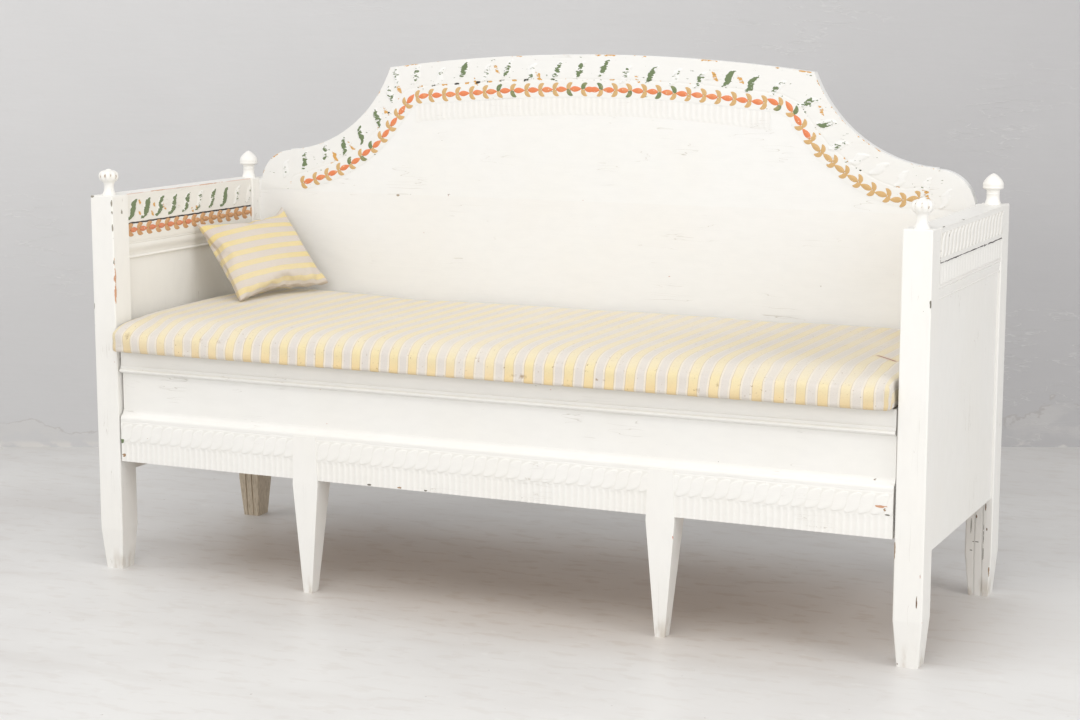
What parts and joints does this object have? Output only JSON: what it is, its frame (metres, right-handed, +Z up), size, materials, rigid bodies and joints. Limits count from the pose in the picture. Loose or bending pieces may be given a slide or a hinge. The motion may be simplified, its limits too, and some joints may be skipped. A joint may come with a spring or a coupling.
{
  "type": "pull-out bench bed",
  "caption": "Painted pull-out bench bed: panelled ends, shaped back, drawer front on legs of its own, interleaved slats, loose lid, striped mattress and pillows.",
  "frame": {"origin": "on the floor, in the middle of the whole bench's length and depth, the mattress's overhang included", "axes": "+X along the bench, to the right as seen from the front; +Y towards the back; +Z up"},
  "size_m": [1.9, 0.677, 1.1545],
  "materials": {
    "white_paint": "old chipped oil paint, satin",
    "cream_paint": "old oil paint, satin",
    "bare_pine": "planed pine, unpainted",
    "striped_cloth": "plain-woven yellow and grey striped cotton"
  },
  "bodies": {
    "frame": {"back_board_lower": "cream_paint", "back_board_upper": "cream_paint", "crest_board": "cream_paint", "drawer_runner_left": "bare_pine", "drawer_runner_right": "bare_pine", "end_moulding_inner_left": "white_paint", "end_moulding_inner_right": "white_paint", "end_moulding_outer_left": "white_paint", "end_moulding_outer_right": "white_paint", "end_panel_left": "white_paint", "end_panel_right": "white_paint", "end_rail_left": "white_paint", "end_rail_right": "white_paint", "finials_front": "white_paint", "finials_rear": "white_paint", "fixed_slat_1": "bare_pine", "fixed_slat_2": "bare_pine", "fixed_slat_3": "bare_pine", "fixed_slat_4": "bare_pine", "fixed_slat_5": "bare_pine", "post_front_left": "white_paint", "post_front_right": "white_paint", "post_rear_left": "white_paint", "post_rear_right": "white_paint", "seat_ledge_back": "bare_pine", "seat_ledge_left": "bare_pine", "seat_ledge_right": "bare_pine", "slat_bearer_back": "bare_pine", "slat_bearer_front": "bare_pine"},
    "drawer": {"drawer_frieze_centre": "white_paint", "drawer_frieze_left": "white_paint", "drawer_frieze_right": "white_paint", "drawer_front_board": "white_paint", "drawer_leg_left": "white_paint", "drawer_leg_right": "white_paint", "drawer_lid_ledge": "bare_pine", "drawer_ogee_moulding": "white_paint", "drawer_side_left": "bare_pine", "drawer_side_right": "bare_pine", "drawer_slat_1": "bare_pine", "drawer_slat_2": "bare_pine", "drawer_slat_3": "bare_pine", "drawer_slat_4": "bare_pine", "drawer_slat_5": "bare_pine", "drawer_slat_6": "bare_pine", "drawer_slat_cleat": "bare_pine", "drawer_tie_batten": "bare_pine", "drawer_top_moulding": "white_paint"},
    "lid": {"seat_lid_batten_centre": "bare_pine", "seat_lid_batten_left": "bare_pine", "seat_lid_batten_right": "bare_pine", "seat_lid_board_1": "bare_pine", "seat_lid_board_2": "bare_pine", "seat_lid_board_3": "bare_pine"},
    "mattress": {"mattress": "striped_cloth"},
    "pillow_left": {"pillow_left": "striped_cloth"},
    "pillow_right": {"pillow_right": "striped_cloth"}
  },
  "joints": [
    {"name": "drawer_slide", "type": "slide", "parent": "frame", "child": "drawer", "axis": [0, -1, 0], "range_m": [0, 0.45]},
    {"name": "lid_lift", "type": "slide", "parent": "frame", "child": "lid", "axis": [0, 0, 1], "range_m": [0, 0.4]},
    {"name": "mattress_lift", "type": "slide", "parent": "lid", "child": "mattress", "axis": [0, 0, 1], "range_m": [0, 0.3]},
    {"name": "pillow_left_lift", "type": "slide", "parent": "mattress", "child": "pillow_left", "axis": [0, 0, 1], "range_m": [0, 0.3]},
    {"name": "pillow_right_lift", "type": "slide", "parent": "mattress", "child": "pillow_right", "axis": [0, 0, 1], "range_m": [0, 0.3]}
  ]
}
